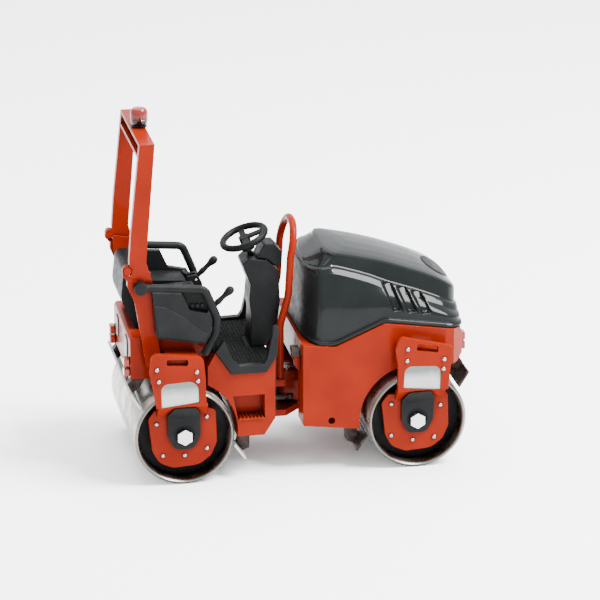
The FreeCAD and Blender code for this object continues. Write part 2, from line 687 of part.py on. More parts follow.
def lamps(label, x_from, x_to, heights, y_from, y_to):
    pair = []
    for side, hand in SIDES:
        low = min(side * y_from, side * y_to)
        for height in heights:
            lamp = box(f"{label}_{hand}", (x_to - x_from, y_to - y_from, 1.2),
                       (x_from, low, height))
            pair.append(lamp)
    group(label, pair)


rear_chassis()
step_treads()
floor()
seat()
lever_mounts = []
for hand_side, hand_name in SIDES:
    console(hand_side, hand_name)
    lever_mounts.append(lever(hand_side, hand_name))
group("lever_brackets", [bracket for bracket, _ in lever_mounts])
group("lever_pins", [pin for _, pin in lever_mounts])
steering()
grab_hoop()
lamps("rear_lamps", -25.0, -24.1, (15.4, 16.9), 6.3, 7.9)


# ---------------------------------------------------------------- roll bar
def lower_post(side, hand):
    """Fixed post: its outer half carries the hinge ear of the folding frame."""
    body = new_body("roll_bar_post_" + hand)
    post = ((-24.45, 30.6), (-24.5, 29.4), (-23.45, 26.9), (-21.9, 17.2), (-19.7, 17.2),
            (-21.04, 27.1), (-20.95, 29.45))
    prism(body, "XZ", post, "dims.post_thick", "dims.post_inner", side)
    outer_half = "dims.post_inner + dims.post_thick - dims.lug_thick"
    ear = ((-25.13, 31.7), (-25.13, 31.0), (-24.45, 30.2), (-24.22, 30.2), (-24.22, 31.7))
    prism(body, "XZ", ear, "dims.lug_thick", outer_half, side)
    disc = ("-dims.fold_x", "dims.fold_z", "dims.lug_radius")
    prism(body, "XZ", disc, "dims.lug_thick", outer_half, side)
    bore = ("-dims.fold_x", "dims.fold_z", "dims.hinge_pin_radius")
    prism(body, "XZ", bore, 3, "dims.post_inner + 2", side, cut=True)


def folding_frame():
    """The upper roll bar: two posts, a crossbar and the inner half of each hinge."""
    body = new_body("roll_bar_frame")
    post = ((-24.12, 30.85), (-20.9, 29.7), (-21.76, 32.9), (-21.42, 36.7), (-20.3, "dims.bar_top"),
            (-22.45, "dims.bar_top"), (-23.88, 36.9), (-24.17, 33.0))
    bar = ((-22.66, "dims.bar_top - dims.bar_depth"), (-20.5, "dims.bar_top - dims.bar_depth"),
           (-20.3, "dims.bar_top"), (-22.45, "dims.bar_top"))
    prism(body, "XZ", bar, "2 * (dims.post_inner + dims.post_thick)")
    channel = ((-23.0, "dims.bar_top - dims.bar_depth + 0.4"),
               (-21.3, "dims.bar_top - dims.bar_depth + 0.4"),
               (-21.2, "dims.bar_top - 0.4"), (-23.0, "dims.bar_top - 0.4"))
    prism(body, "XZ", channel, "2 * dims.post_inner - 0.1", cut=True)
    relief = ("-dims.fold_x", "dims.fold_z", "dims.lug_radius + 0.1")
    lug = ("-dims.fold_x", "dims.fold_z", "dims.lug_radius")
    bore = ("-dims.fold_x", "dims.fold_z", "dims.hinge_pin_radius + dims.running_gap")
    for side, _ in SIDES:
        prism(body, "XZ", post, "dims.post_thick", "dims.post_inner", side)
        prism(body, "XZ", relief, 1.0, "dims.post_inner + 1.52", side, cut=True)
        prism(body, "XZ", lug, "dims.lug_thick", "dims.post_inner", side)
        prism(body, "XZ", bore, 3, "dims.post_inner + 2", side, cut=True)


def hinge_pins():
    """A headed pin through each pair of hinge halves."""
    pins = []
    for side, hand in SIDES:
        low = "dims.post_inner" if side == LEFT else "-dims.post_inner - dims.post_thick"
        shank = cylinder("hinge_shank_" + hand, "dims.hinge_pin_radius", "dims.post_thick",
                         ("-dims.fold_x", low, "dims.fold_z"), "Y")
        head_at = f"{side} * (dims.post_inner + dims.post_thick)"
        if side == RIGHT:
            head_at += " - dims.pin_head"
        head = cylinder("hinge_head_" + hand, "2 * dims.hinge_pin_radius", "dims.pin_head",
                        ("-dims.fold_x", head_at, "dims.fold_z"), "Y")
        pins.append(fuse("hinge_pin_" + hand, shank, head))
    group("roll_bar_pins", pins)


def beacon():
    at = ("-dims.beacon_x", 0, "dims.bar_top")
    node(cylinder("beacon_foot", "dims.beacon_radius - 0.15", "dims.beacon_foot", at), "beacon_base")
    lens_low = "dims.bar_top + dims.beacon_foot"
    tube = cylinder("beacon_tube", "dims.beacon_radius", "dims.beacon_radius",
                    ("-dims.beacon_x", 0, lens_low))
    dome = sphere("beacon_dome", "dims.beacon_radius",
                  ("-dims.beacon_x", 0, lens_low + " + dims.beacon_radius"))
    node(fuse("beacon_fused", tube, dome), "beacon_lens")


for hand_side, hand_name in SIDES:
    lower_post(hand_side, hand_name)
folding_frame()
hinge_pins()
beacon()


# ---------------------------------------------------------------- articulation
def articulation():
    """Two plates on the rear frame hold the pin; a block on the front frame turns on it."""
    rear = new_body("rear_yoke")
    plate = (("-dims.rear_front_x", -5.0), (-1.0, -5.0, 0.6), (1.6, -2.2, 1.2), (1.6, 2.2, 1.2),
             (-1.0, 5.0, 0.6), ("-dims.rear_front_x", 5.0))
    prism(rear, "XY", plate, "dims.yoke_plate", "dims.yoke_top - dims.yoke_plate")
    prism(rear, "XY", plate, "dims.yoke_plate", "dims.yoke_low")
    wall = (("-dims.rear_front_x", -5.0), (-2.7, -5.0), (-2.7, 5.0), ("-dims.rear_front_x", 5.0))
    prism(rear, "XY", wall, "dims.yoke_top - dims.yoke_low", "dims.yoke_low")
    prism(rear, "XY", (0, 0, "dims.pin_radius"), 20, 20, cut=True)

    front = new_body("front_yoke")
    arm = ((-1.5, -1.5, 1.2), (3.0, -2.6), (3.0, 2.6), (-1.5, 1.5, 1.2))
    low = "dims.yoke_low + dims.yoke_plate + 0.2"
    height = "dims.yoke_top - dims.yoke_low - 2 * dims.yoke_plate - 0.4"
    prism(front, "XY", arm, height, low)
    prism(front, "XY", (0, 0, "dims.pin_radius + dims.running_gap"), 20, 20, cut=True)

    shank = cylinder("pin_shank", "dims.pin_radius", "dims.yoke_top - dims.yoke_low + 0.3",
                     (0, 0, "dims.yoke_low - 0.3"))
    head = cylinder("pin_head", "dims.pin_radius + 0.5", 0.4, (0, 0, "dims.yoke_top"))
    node(fuse("pin_fused", shank, head), "articulation_pin")

    barrel = cylinder("ram_barrel", 0.5, 1.6, (-2.7, -4.0, 9.3), "X")
    rod = cylinder("ram_rod", 0.25, 0.7, (-1.1, -4.0, 9.3), "X")
    eye = cylinder("ram_eye", 0.45, 0.6, (-0.2, -4.0, 9.0))
    node(fuse("ram_fused", barrel, rod, eye), "steering_ram")


# ---------------------------------------------------------------- front frame
HOOD_LINE = ((23.9, 20.1), (21.7, 20.5), (12.4, 21.9, 1.0), (5.1, 18.8, 1.0), (1.0, 19.3))
CREST_SLOPE = 15


def front_chassis():
    """One casting: side panels, an engine deck and a fender over the front drum."""
    body = new_body("front_chassis")
    side_view = (("dims.front_rear_x", 7.1, 0.3), (8.6, 6.1), ("dims.axle_x", 6.1),
                 ("dims.axle_x", 15.0), (23.3, 15.0), (24.3, 15.9),
                 (24.3, 18.6)) + HOOD_LINE + (("dims.front_rear_x", 19.37),)
    prism(body, "XZ", side_view, "2 * dims.front_half")
    prism(body, "XZ", ("dims.axle_x", "dims.drum_radius", "dims.front_arch"), 30, cut=True)
    deck = ((1.6, "dims.front_deck_z"), (22.6, "dims.front_deck_z"), (22.6, 24), (1.6, 24))
    prism(body, "XZ", deck, 18.8, cut=True)
    for x, y, foot, _ in hood_pegs():
        prism(body, "XY", (x, y, "dims.peg_radius"), 4, foot + 4, cut=True)
    bay = ((0, 4), (3.0, 4), (3.0, 14.6), (0, 14.6))
    prism(body, "XZ", bay, 14.0, cut=True)
    corner = ((25.0, 7.6), (25.0, 12.0), (20.6, 12.0), (20.6, 11.0), (22.6, 10.4))
    for side, _ in SIDES:
        clipped = [(x, f"{side} * {y}") for x, y in corner]
        prism(body, "XY", clipped, 30, 30, cut=True)
        prism(body, "XZ", along(FRONT, 1, *SPACER[FRONT]), 1.6, "dims.front_half - 0.1", side)
        hole = (4.6, 7.6, "dims.tie_down_radius")
        prism(body, "XZ", hole, "dims.tie_down_depth", "dims.front_half", side, cut=True)


def hood_block(label, wall):
    """Side view, plan view and a cross-section that slopes with the crest, intersected."""
    side_view = ((1.0 + wall, 19.3 - 3 * wall), (1.35 + wall, 21.3), (2.1 + wall, 29.9 - wall),
                 (3.1 + wall / 2, 31.2 - wall), (4.4, 32.3 - wall), (12.0, 31.0 - wall),
                 (18.0, 29.0 - wall), (21.4 - wall / 2, 27.6 - wall), (23.2 - wall, 26.0 - wall),
                 (24.0 - wall, 23.4 - wall), (24.35 - wall, 20.3))
    foot = ((24.35 - wall, 16.0),) if wall else HOOD_LINE[:-1]
    side_body = tool_body(label + "_side_view")
    prism(side_body, "XZ", side_view + foot, 24)

    half = ((10.4 - wall, 10.0), (10.4 - wall, 20.5), (9.6 - wall, 25.5), (8.4 - wall, 29.0 - wall),
            (7.7 - wall, 29.7 - wall), (6.9 - wall, 29.9 - wall), (5.4 - wall, 31.7 - wall),
            (4.2 - wall, 32.8 - wall), (4.2 - wall, 40.0))
    section_body = tool_body(label + "_section")
    prism(section_body, "YZ", half + tuple((-y, z) for y, z in reversed(half)), 60)
    section_body.Placement.Rotation = FreeCAD.Rotation(Vector(0, 1, 0), CREST_SLOPE)

    edge = ((1.0 + wall, -5.6), (1.7 + wall, -8.1 + wall), (3.0 + wall / 2, -9.6 + wall),
            (4.8, -10.4 + wall), (21.8, -10.4 + wall), (23.4 - wall, -9.4 + wall),
            (24.35 - wall, -7.2 + wall))
    plan_body = tool_body(label + "_plan")
    prism(plan_body, "XY", edge + tuple((x, -y) for x, y in reversed(edge)), 30, 10)
    common = doc.addObject("Part::MultiCommon", label + "_common")
    common.Shapes = [side_body, section_body, plan_body]
    return common


def hood():
    """A glossy shell over the engine, open below, with an oval inlay in its nose."""
    outer = hood_block("hood_outer", 0.0)
    inner = hood_block("hood_inner", value("dims.hood_wall"))
    tilt = FreeCAD.Rotation(Vector(0, 1, 0), 32)
    centre = Vector(21.9, 0, 26.6)

    def oval(name, depth, height):
        curve = doc.addObject("Part::Ellipse", name + "_curve")
        curve.MajorRadius = 3.0
        curve.MinorRadius = 1.9
        curve.Placement = FreeCAD.Placement(centre + tilt.multVec(Vector(0, 0, depth)),
                                            tilt * FreeCAD.Rotation(Vector(0, 0, 1), 90))
        block = doc.addObject("Part::Extrusion", name)
        block.Base = curve
        block.DirMode = "Custom"
        block.Dir = tilt.multVec(Vector(0, 0, 1))
        block.LengthFwd = height
        block.Solid = True
        return block

    recess = oval("nose_recess", -0.25, 4.0)
    shell = cut("hood_shell", outer, inner, recess)
    pegs = [cylinder("hood_peg", "dims.peg_radius", top - foot, (x, y, foot))
            for x, y, foot, top in hood_pegs()]
    node(fuse("hood_fused", shell, *pegs), "hood")
    node(oval("nose_inlay_block", -0.25, 0.2), "nose_inlay")


def hood_pegs():
    """Four pegs under the hood's roof press into holes in the deck."""
    foot = value("dims.front_deck_z") - 1.5
    return [(x, side * 3.0, foot, top) for x, top in ((3.4, 30.4), (21.3, 26.3))
            for side, _ in SIDES]


def engine():
    block = new_body("engine_block")
    prism(block, "XZ", ((5.0, "dims.front_deck_z"), (20.0, "dims.front_deck_z"), (20.0, 24.5),
                        (16.0, 26.0), (6.0, 26.5)), 8.0)


def harness():
    """A plug on a small bracket at the rear edge of the front frame."""
    bracket = new_body("harness_bracket")
    prism(bracket, "XZ", ((-0.6, 17.0), (-0.3, 15.4), (0.4, 14.7), (0.4, 17.0)), 1.4, 7.4, RIGHT)
    plug = new_body("harness_plug")
    prism(plug, "XZ", ((-0.8, 17.0), (0.3, 17.0), (0.3, 18.35, 0.2), (-0.95, 18.45, 0.2)), 1.5,
          7.3, RIGHT)


articulation()
front_chassis()
hood()
engine()
harness()
lamps("front_lamps", 24.3, 25.13, (15.9, 17.3), 5.6, 7.2)


# ---------------------------------------------------------------- checks and export
doc.recompute()
for item in doc.Objects:
    if "Invalid" in item.State or "Error" in item.State:
        raise RuntimeError(f"{item.Label} did not build: {item.State} {item.getStatusString()}")
for feature in cuts:
    whole = feature.Base if feature.TypeId == "Part::Cut" else feature.BaseFeature
    if feature.Shape.Volume > whole.Shape.Volume - 1e-4:
        raise RuntimeError(f"{feature.Label} cuts nothing")

os.makedirs("parts", exist_ok=True)
for item in nodes:
    shape = item.Shape
    if shape.isNull() or not shape.isValid():
        raise RuntimeError(f"{item.Label} has no valid shape")
    shape.exportStep(os.path.join("parts", item.Label + ".step"))
    print(f"{item.Label:28s} solids {len(shape.Solids):2d}  volume {shape.Volume:9.3f}")
print(len(nodes), "nodes")
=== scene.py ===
"""Looks for the toy road roller: paint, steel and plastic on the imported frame, finer meshes for the
hood, nose inlay, beacon lens and travel levers, and small pieces that the CAD leaves out.

Lengths are millimetres unless a comment says otherwise. +X is the hood end, -Y is the right side,
which faces the camera, and +Z is up. An outline's points are (x, z).
"""
import math
from collections import namedtuple

import bmesh
import bpy
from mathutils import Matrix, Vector
from mathutils.bvhtree import BVHTree


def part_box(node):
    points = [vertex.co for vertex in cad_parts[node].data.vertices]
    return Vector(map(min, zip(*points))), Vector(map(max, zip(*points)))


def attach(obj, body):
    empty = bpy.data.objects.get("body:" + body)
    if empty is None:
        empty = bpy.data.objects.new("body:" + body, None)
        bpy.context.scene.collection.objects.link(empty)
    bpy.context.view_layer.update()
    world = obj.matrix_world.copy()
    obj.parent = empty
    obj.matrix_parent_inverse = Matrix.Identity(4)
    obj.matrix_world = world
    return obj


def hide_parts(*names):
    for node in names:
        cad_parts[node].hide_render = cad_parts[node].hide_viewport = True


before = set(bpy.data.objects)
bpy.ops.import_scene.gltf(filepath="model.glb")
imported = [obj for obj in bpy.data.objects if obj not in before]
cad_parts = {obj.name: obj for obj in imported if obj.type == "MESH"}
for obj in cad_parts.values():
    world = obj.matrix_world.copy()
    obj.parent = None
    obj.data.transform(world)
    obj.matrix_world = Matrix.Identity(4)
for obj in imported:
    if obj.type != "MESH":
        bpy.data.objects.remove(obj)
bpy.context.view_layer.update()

MM = 0.001
WELD_METRES = 1e-7
SIDES = ((-1, "right"), (1, "left"))
AXLE_X = 17.0
AXLE_HEIGHT = 7.2


# ---------------------------------------------------------------- small tools
def mix(low, high, share):
    return low + (high - low) * share


def smoothstep(low, high, value):
    share = min(max((value - low) / (high - low), 0.0), 1.0)
    return share * share * (3 - 2 * share)


def curve_through(points):
    """A smooth function of x through the points: cubic pieces whose slopes are averaged."""
    xs = [point[0] for point in points]
    ys = [point[1] for point in points]
    slopes = []
    for index in range(len(xs)):
        low, high = max(index - 1, 0), min(index + 1, len(xs) - 1)
        slopes.append((ys[high] - ys[low]) / (xs[high] - xs[low]))

    def evaluate(x):
        x = min(max(x, xs[0]), xs[-1])
        index = max(i for i in range(len(xs) - 1) if xs[i] <= x)
        span = xs[index + 1] - xs[index]
        t = (x - xs[index]) / span
        rise = 3 * t**2 - 2 * t**3
        fall = 2 * t**3 - 3 * t**2 + 1
        leave = (t**3 - 2 * t**2 + t) * span
        arrive = (t**3 - t**2) * span
        return (fall * ys[index] + leave * slopes[index]
                + rise * ys[index + 1] + arrive * slopes[index + 1])
    return evaluate


def softened_line(points, reach):
    """Straight pieces whose corners are rounded by averaging over a short reach."""
    def straight(x):
        x = min(max(x, points[0][0]), points[-1][0])
        for (x0, y0), (x1, y1) in zip(points, points[1:]):
            if x <= x1:
                return mix(y0, y1, (x - x0) / (x1 - x0))
        return points[-1][1]

    steps = range(-4, 5)
    return lambda x: sum(straight(x + reach * step / 4) for step in steps) / len(steps)


def ring_faces(rings, count):
    """Quads that join each ring of count points to the next ring."""
    faces = []
    for ring in range(rings - 1):
        for spot in range(count):
            follower = (spot + 1) % count
            faces.append((ring * count + spot, ring * count + follower,
                          (ring + 1) * count + follower, (ring + 1) * count + spot))
    return faces


def capped_faces(count):
    """The faces of a prism: two caps of count points each, and the quads around them."""
    return [tuple(range(count)), tuple(range(2 * count - 1, count - 1, -1))] + ring_faces(2, count)


def piece(name, vertices, faces, material, body, slot, smooth=True, angle=30):
    """A mesh object made from points in millimetres, riding on a body."""
    mesh = bpy.data.meshes.new(name)
    mesh.from_pydata([Vector(vertex) * MM for vertex in vertices], [], faces)
    shape = bmesh.new()
    shape.from_mesh(mesh)
    bmesh.ops.remove_doubles(shape, verts=shape.verts, dist=WELD_METRES)
    bmesh.ops.recalc_face_normals(shape, faces=shape.faces)
    shape.to_mesh(mesh)
    shape.free()
    mesh.materials.append(material)
    if smooth:
        mesh.shade_smooth()
        mesh.set_sharp_from_angle(angle=math.radians(angle))
    item = bpy.data.objects.new(name, mesh)
    bpy.context.scene.collection.objects.link(item)
    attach(item, body)
    return item


def bevel(item, width, segments=3, angle=35):
    modifier = item.modifiers.new("soft_edges", "BEVEL")
    modifier.width = width * MM
    modifier.segments = segments
    modifier.limit_method = "ANGLE"
    modifier.angle_limit = math.radians(angle)
    modifier.harden_normals = True


# ---------------------------------------------------------------- materials
class Finish:
    """A node material: each method adds a node and returns its output."""

    def __init__(self, name, colour, roughness, metallic=0.0, **sockets):
        self.material = bpy.data.materials.new(name)
        self.material.use_nodes = True
        self.nodes = self.material.node_tree.nodes
        self.links = self.material.node_tree.links
        self.shader = self.nodes["Principled BSDF"]
        self.place = self.nodes.new("ShaderNodeTexCoord").outputs["Object"]
        self.put("Base Color", (*colour, 1))
        self.put("Roughness", roughness)
        self.put("Metallic", metallic)
        for socket, value in sockets.items():
            self.put(socket.replace("_", " "), value)

    def connect(self, value, target):
        """Link an output to the target socket, or set the socket to a plain value."""
        if isinstance(value, bpy.types.NodeSocket):
            self.links.new(value, target)
        else:
            target.default_value = value

    def put(self, socket, value):
        self.connect(value, self.shader.inputs[socket])

    def node(self, kind, inputs=(), **settings):
        node = self.nodes.new("ShaderNode" + kind)
        for key, value in settings.items():
            setattr(node, key, value)
        for key, value in dict(inputs).items():
            self.connect(value, node.inputs[key])
        return node

    def noise(self, size, detail=3.0, roughness=0.55, stretch=(1, 1, 1), where=None):
        """Noise whose blobs are about this many millimetres across."""
        mapping = self.node("Mapping", {"Vector": where or self.place, "Scale": stretch})
        texture = self.node("TexNoise", {"Vector": mapping.outputs[0], "Scale": 1 / (size * MM),
                                         "Detail": detail, "Roughness": roughness})
        return texture.outputs["Fac"]

    def ramp(self, value, low, high, first=0.0, last=1.0):
        node = self.node("MapRange", {"Value": value, "From Min": low, "From Max": high,
                                      "To Min": first, "To Max": last})
        return node.outputs[0]

    def blend(self, share, first, second):
        """The first colour at a share of 0 and the second colour at 1."""
        colours = [(*colour, 1) if isinstance(colour, tuple) else colour for colour in (first, second)]
        node = self.node("Mix", {0: share, 6: colours[0], 7: colours[1]}, data_type="RGBA")
        return node.outputs[2]

    def calculate(self, operation, *values):
        return self.node("Math", enumerate(values), operation=operation).outputs[0]

    def times(self, first, second):
        return self.calculate("MULTIPLY", first, second)

    def crevice(self, reach):
        """1 in the open and falling to 0 in corners narrower than the reach."""
        node = self.node("AmbientOcclusion", {"Distance": reach * MM}, samples=6)
        return node.outputs["AO"]

    def edge(self, radius):
        """About 1 on sharp outer edges and 0 on flats."""
        rounded = self.node("Bevel", {"Radius": radius * MM}, samples=4)
        true_normal = self.node("NewGeometry").outputs["Normal"]
        likeness = self.node("VectorMath", {0: rounded.outputs[0], 1: true_normal},
                             operation="DOT_PRODUCT")
        return self.ramp(likeness.outputs["Value"], 0.985, 0.86)

    def bump(self, height, distance, strength=1.0):
        node = self.node("Bump", {"Height": height, "Distance": distance * MM,
                                  "Strength": strength})
        self.put("Normal", node.outputs[0])


def orange_enamel():
    """Thick toy enamel: slightly uneven, darkened in corners by painted shade, thin and pale on edges.
    """
    paint = Finish("orange_enamel", (0.14, 0.006, 0.0004), 0.42, Coat_Weight=0.22, Coat_IOR=1.22,
                   Coat_Roughness=0.08, Specular_IOR_Level=0.03)
    cloud = paint.ramp(paint.noise(6.0, 2.0), 0.35, 0.65)
    body = paint.blend(cloud, (0.128, 0.0056, 0.0001), (0.156, 0.0073, 0.0002))
    # painted shade: ambient occlusion darkens the enamel towards a deep orange in corners and crevices
    corners = paint.ramp(paint.crevice(0.9), 0.35, 0.95)
    corner_shaded = paint.blend(corners, (0.045, 0.0014, 0.0002), body)
    worn = paint.times(paint.edge(0.12), paint.ramp(paint.noise(0.7, 4.0), 0.42, 0.62, 0.15, 0.8))
    paint.put("Base Color", paint.blend(worn, corner_shaded, (0.34, 0.030, 0.004)))
    paint.put("Roughness", paint.ramp(paint.noise(1.5, 4.0), 0.3, 0.7, 0.27, 0.44))
    paint.bump(paint.noise(0.55, 3.0), 0.012, 0.6)
    return paint.material


def black_gloss():
    """The hood: dark grey-green moulding under a clear coat, with a little dust."""
    gloss = Finish("black_gloss", (0.01, 0.012, 0.012), 0.3, Coat_Weight=0.3, Coat_IOR=1.33,
                   Coat_Roughness=0.03, Specular_IOR_Level=0.03)
    cloud = gloss.ramp(gloss.noise(5.0, 3.0), 0.35, 0.65)
    tone = gloss.blend(cloud, (0.0034, 0.0042, 0.0041), (0.0049, 0.0061, 0.0060))
    dust = gloss.ramp(gloss.noise(0.35, 5.0, 0.7), 0.66, 0.8, 0.0, 0.35)
    gloss.put("Base Color", gloss.blend(dust, tone, (0.022, 0.025, 0.024)))
    gloss.put("Roughness", gloss.ramp(gloss.noise(1.8, 4.0), 0.3, 0.7, 0.16, 0.3))
    gloss.bump(gloss.noise(1.1, 2.0), 0.006, 0.35)
    return gloss.material


def satin_plastic(name, low, high, roughness=0.46, grain=0.16):
    """Moulded plastic with a fine spark-eroded grain, painted shade in its corners and pale handling
    marks on edges.
    """
    plastic = Finish(name, high, roughness, Specular_IOR_Level=0.07)
    cloud = plastic.ramp(plastic.noise(3.5, 4.0), 0.35, 0.65)
    tone = plastic.blend(cloud, low, high)
    # painted shade: ambient occlusion darkens the plastic in corners
    corners = plastic.ramp(plastic.crevice(0.7), 0.3, 0.9)
    corner_shaded = plastic.blend(corners, tuple(channel * 0.35 for channel in low), tone)
    rubbed = plastic.times(plastic.edge(0.1), plastic.ramp(plastic.noise(0.5), 0.4, 0.65, 0.1, 0.7))
    plastic.put("Base Color", plastic.blend(rubbed, corner_shaded, (0.026, 0.028, 0.028)))
    plastic.put("Roughness", plastic.ramp(plastic.noise(0.9, 4.0), 0.3, 0.7, roughness - 0.08,
                                          roughness + 0.1))
    plastic.bump(plastic.noise(grain, 4.0, 0.65), 0.012, 0.5)
    return plastic.material


def turned_steel(name, centre_x):
    """A turned steel drum: fine rings around its axle, brown patches, and dull sawn rims."""
    bore_start, bore_end = 6.86, 6.6
    rim_start, rim_end = 11.6, 11.8
    steel = Finish(name, (0.45, 0.43, 0.4), 0.33, metallic=1.0, Anisotropic=0.35)
    shift = steel.node("VectorMath", {0: steel.place, 1: (centre_x * MM, 0, AXLE_HEIGHT * MM)},
                       operation="SUBTRACT")
    split = steel.node("SeparateXYZ", {0: shift.outputs[0]})
    flat = steel.node("CombineXYZ", {"X": split.outputs["X"], "Z": split.outputs["Z"]})
    radius = steel.node("VectorMath", {0: flat.outputs[0]}, operation="LENGTH").outputs["Value"]
    rings = steel.node("CombineXYZ", {"X": radius, "Y": split.outputs["Y"]})
    lathe = steel.noise(0.09, 3.0, 0.7, where=rings.outputs[0])
    patches = steel.ramp(steel.noise(2.6, 5.0, 0.62), 0.42, 0.62)
    inside = steel.ramp(radius, bore_start * MM, bore_end * MM)
    bright = steel.blend(steel.ramp(lathe, 0.3, 0.7), (0.31, 0.305, 0.285), (0.48, 0.48, 0.46))
    stained = steel.blend(steel.times(patches, 0.55), bright, (0.30, 0.25, 0.205))
    outward = steel.calculate("ABSOLUTE", split.outputs["Y"])
    rim = steel.ramp(outward, rim_start * MM, rim_end * MM)
    sawn = steel.blend(rim, stained, (0.135, 0.13, 0.115))
    steel.put("Base Color", steel.blend(inside, sawn, (0.075, 0.06, 0.05)))
    steel.put("Roughness", steel.ramp(patches, 0.0, 1.0, 0.26, 0.46))
    steel.bump(lathe, 0.01, 0.55)
    return steel.material


def plated_steel(name, low, high):
    """Bright plating with fine streaks, and painted shade, tinted brown, where it meets another face.
    """
    steel = Finish(name, high, 0.24, metallic=1.0)
    streaks = steel.noise(0.3, 4.0, 0.6, stretch=(1, 1, 6))
    tone = steel.blend(steel.ramp(streaks, 0.35, 0.65), low, high)
    # painted shade: ambient occlusion darkens the plating to dull brown where it meets another face
    corners = steel.ramp(steel.crevice(0.5), 0.25, 0.85)
    steel.put("Base Color", steel.blend(corners, (0.07, 0.045, 0.035), tone))
    steel.put("Roughness", steel.ramp(steel.noise(0.8, 4.0), 0.3, 0.7, 0.18, 0.36))
    steel.bump(streaks, 0.006, 0.5)
    return steel.material


def white_plate():
    """Pale, brushed metal for the forks' plates, rear blades and hatches, with painted shadow darkening
    it higher up and painted shade in its corners.
    """
    plate = Finish("pale_plate", (0.8, 0.81, 0.79), 0.34, metallic=0.55)
    brush = plate.noise(0.2, 3.0, 0.6, stretch=(1, 1, 9))
    tone = plate.blend(plate.ramp(brush, 0.3, 0.7), (0.27, 0.285, 0.27), (0.36, 0.375, 0.36))
    # painted shade: ambient occlusion darkens the plate in corners
    corners = plate.ramp(plate.crevice(0.8), 0.3, 0.9)
    # painted shadow: the plate turns dark above about 14.3 mm, standing in for the shade under the fork
    # window's overhang
    height = plate.node("SeparateXYZ", {0: plate.place}).outputs["Z"]
    wobble = plate.times(plate.noise(1.2, 2.0), 0.8 * MM)
    level = plate.calculate("ADD", height, wobble)
    out_of_top_shadow = plate.ramp(level, 15.6 * MM, 14.3 * MM, 0.05, 1.0)
    bright = plate.blend(out_of_top_shadow, (0.085, 0.10, 0.095), tone)
    plate.put("Base Color", plate.blend(corners, (0.16, 0.18, 0.17), bright))
    plate.put("Roughness", plate.ramp(plate.noise(1.2, 4.0), 0.3, 0.7, 0.26, 0.42))
    plate.bump(brush, 0.006, 0.4)
    return plate.material


def brown_bracket():
    """Bare cast brackets with a brown, greasy patina."""
    cast = Finish("brown_bracket", (0.05, 0.035, 0.03), 0.42, metallic=0.2,
                  Specular_IOR_Level=0.12)
    cloud = cast.ramp(cast.noise(0.9, 5.0), 0.35, 0.65)
    cast.put("Base Color", cast.blend(cloud, (0.006, 0.004, 0.0035), (0.04, 0.026, 0.022)))
    cast.put("Roughness", cast.ramp(cast.noise(0.5, 4.0), 0.3, 0.7, 0.3, 0.55))
    cast.bump(cast.noise(0.3, 4.0), 0.02, 0.6)
    return cast.material


def lamp_plastic():
    """Glossy orange-red lamps, with painted shade darkening their corners."""
    lamp = Finish("lamp_plastic", (0.2, 0.012, 0.003), 0.25, Coat_Weight=1.0, Coat_IOR=1.3,
                  Coat_Roughness=0.05, Specular_IOR_Level=0.15)
    cloud = lamp.ramp(lamp.noise(0.8, 3.0), 0.35, 0.65)
    tone = lamp.blend(cloud, (0.16, 0.007, 0.001), (0.22, 0.012, 0.0015))
    # painted shade: ambient occlusion darkens the lamps in their corners
    corners = lamp.ramp(lamp.crevice(0.5), 0.3, 0.9)
    lamp.put("Base Color", lamp.blend(corners, (0.05, 0.004, 0.002), tone))
    lamp.bump(lamp.noise(0.3, 2.0), 0.01, 0.4)
    return lamp.material


def beacon_plastic(low_z, high_z):
    """Translucent red dome that turns dark brown towards its foot, with a painted highlight lightening
    its crown.
    """
    lens = Finish("beacon_plastic", (0.4, 0.05, 0.03), 0.12, Coat_Weight=0.6, Coat_IOR=1.35,
                  Coat_Roughness=0.03, Specular_IOR_Level=0.12)
    height = lens.node("SeparateXYZ", {0: lens.place}).outputs["Z"]
    wobble = lens.times(lens.noise(0.9, 3.0), 0.35 * MM)
    level = lens.ramp(lens.calculate("ADD", height, wobble), low_z + 0.9 * MM, low_z + 1.5 * MM)
    tone = lens.blend(level, (0.008, 0.0025, 0.002), (0.12, 0.009, 0.006))
    # painted highlight: the top 0.25 mm of the dome is lightened halfway towards a pale red
    crown = lens.ramp(height, high_z - 0.25 * MM, high_z)
    lens.put("Base Color", lens.blend(lens.times(crown, 0.5), tone, (0.26, 0.04, 0.03)))
    lens.bump(lens.noise(0.4, 2.0), 0.01, 0.25)
    return lens.material


ORANGE = orange_enamel()
GLOSS = black_gloss()
PLASTIC = satin_plastic("satin_plastic", (0.0044, 0.0047, 0.0048), (0.0068, 0.0072, 0.0074))
PANEL = satin_plastic("panel_plastic", (0.0052, 0.0056, 0.0057), (0.0078, 0.0083, 0.0085), 0.36)
BLACK = satin_plastic("black_plastic", (0.0018, 0.0018, 0.0019), (0.0030, 0.0030, 0.0031), 0.45)
TRIM = satin_plastic("trim_plastic", (0.0046, 0.0049, 0.0050), (0.0070, 0.0074, 0.0076), 0.42)
RUBBER = satin_plastic("mat_rubber", (0.0030, 0.0031, 0.0031), (0.0050, 0.0053, 0.0053), 0.6, 0.1)
PLATED = plated_steel("plated_steel", (0.42, 0.42, 0.41), (0.60, 0.60, 0.59))
RIVET = plated_steel("rivet_steel", (0.24, 0.22, 0.21), (0.40, 0.38, 0.37))
PALE = white_plate()
BROWN = brown_bracket()
LAMP = lamp_plastic()
REAR_STEEL = turned_steel("rear_drum_steel", -AXLE_X)
FRONT_STEEL = turned_steel("front_drum_steel", AXLE_X)
beacon_low, beacon_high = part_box("beacon_lens")
BEACON = beacon_plastic(beacon_low.z, beacon_high.z)

